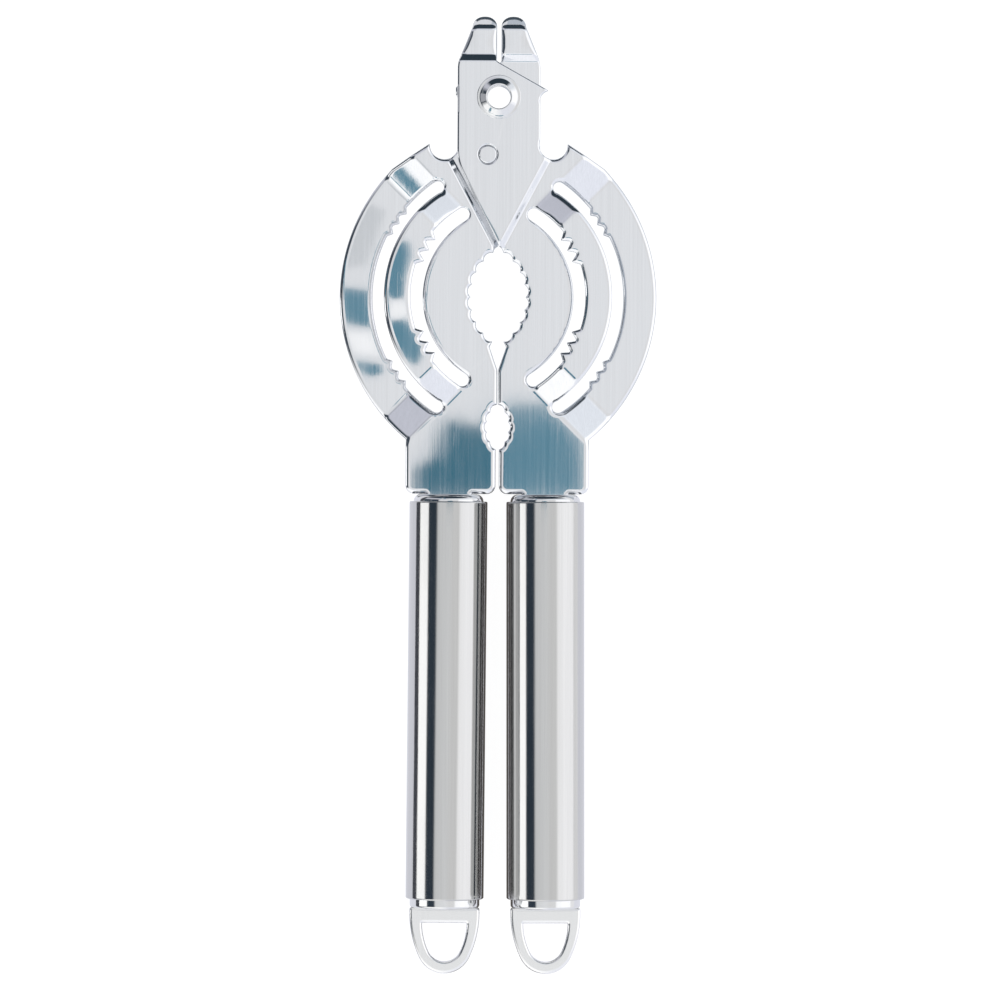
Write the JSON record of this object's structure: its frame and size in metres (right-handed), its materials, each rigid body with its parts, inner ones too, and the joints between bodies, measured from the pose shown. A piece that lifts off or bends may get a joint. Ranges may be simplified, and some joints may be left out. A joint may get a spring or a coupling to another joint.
{
  "type": "can opener",
  "caption": "Pliers-style opener of two stamped steel arms on a hollow rivet, with toothed grips for caps and lids, claws, and round handles with hanging loops.",
  "frame": {"origin": "the rivet's axis, midway between the two arms' heads", "axes": "+Z is the rivet's axis, towards the front arm's side; +Y runs along the closed arms, from the handles towards the claws; +X is to the right, towards the front arm's grips and handle"},
  "size_m": [0.0814, 0.2456, 0.02],
  "materials": {
    "arm_sheet": "brushed along the arms",
    "rivet_steel": "polished",
    "handle_steel": "polished",
    "plug_steel": "polished",
    "loop_steel": "satin"
  },
  "bodies": {
    "front_arm": {"front_arm_plate": "arm_sheet", "pivot_eyelet": "rivet_steel", "spacer_washer": "rivet_steel", "back_washer": "rivet_steel", "stop_stud": "rivet_steel", "right_handle_tube": "handle_steel", "right_neck_plug": "plug_steel", "right_tang_pin": "rivet_steel", "right_end_plug": "plug_steel", "right_hanging_loop": "loop_steel"},
    "rear_arm": {"rear_arm_plate": "arm_sheet", "left_handle_tube": "handle_steel", "left_neck_plug": "plug_steel", "left_tang_pin": "rivet_steel", "left_end_plug": "plug_steel", "left_hanging_loop": "loop_steel"}
  },
  "joints": [
    {"name": "arm_pivot", "type": "hinge", "parent": "front_arm", "child": "rear_arm", "pos_m": [0, 0, 0], "axis": [0, 0, -1], "range_deg": [0, 40]}
  ]
}
